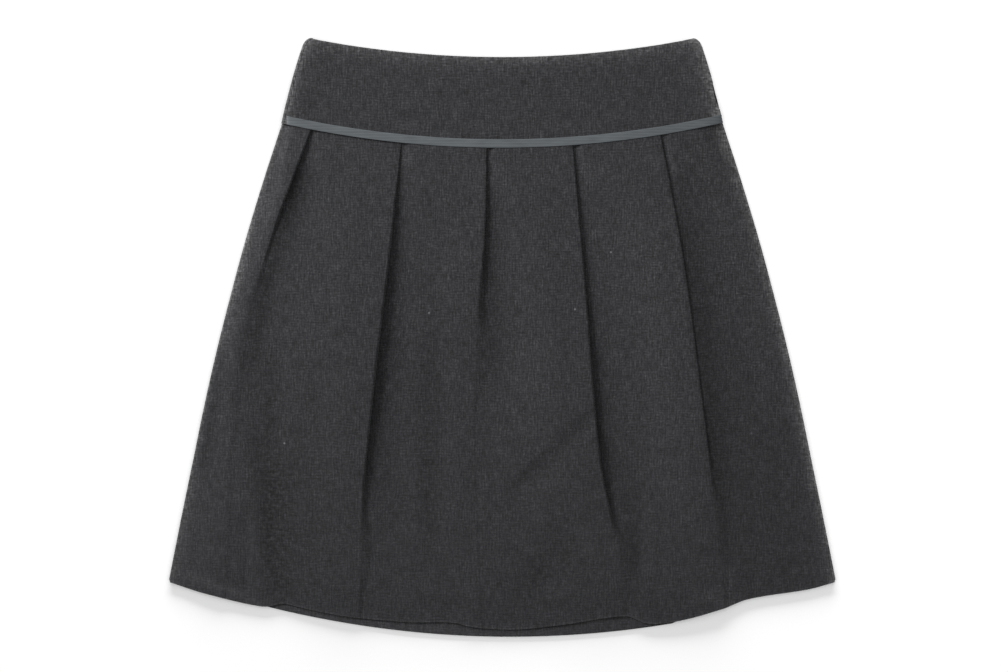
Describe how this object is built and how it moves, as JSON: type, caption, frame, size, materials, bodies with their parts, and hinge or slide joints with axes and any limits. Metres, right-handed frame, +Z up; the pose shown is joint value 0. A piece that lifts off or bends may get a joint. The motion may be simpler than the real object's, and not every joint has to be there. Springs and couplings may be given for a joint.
{
  "type": "skater skirt",
  "caption": "Short flared skirt laid flat, with a wide contoured yoke, a narrow ribbon under it, knife pleats that face one way and a side zip.",
  "frame": {"origin": "middle of the bounding box, on the surface that the skirt lies on", "axes": "+Z up, out of the skirt's front; +Y towards the waist; +X towards the wearer's left side, where the zip is"},
  "size_m": [0.5518, 0.4957, 0.009],
  "materials": {
    "suiting": "matt melange wool blend, fine plain weave with a short nap",
    "ribbon": "fine ribbed ribbon with a soft sheen",
    "zip_tape": "matt woven zip tape"
  },
  "bodies": {
    "root": {"back_panel": "suiting", "front_panel": "suiting", "back_yoke": "suiting", "front_yoke": "suiting", "front_trim": "ribbon", "side_zip": "zip_tape"}
  },
  "joints": []
}
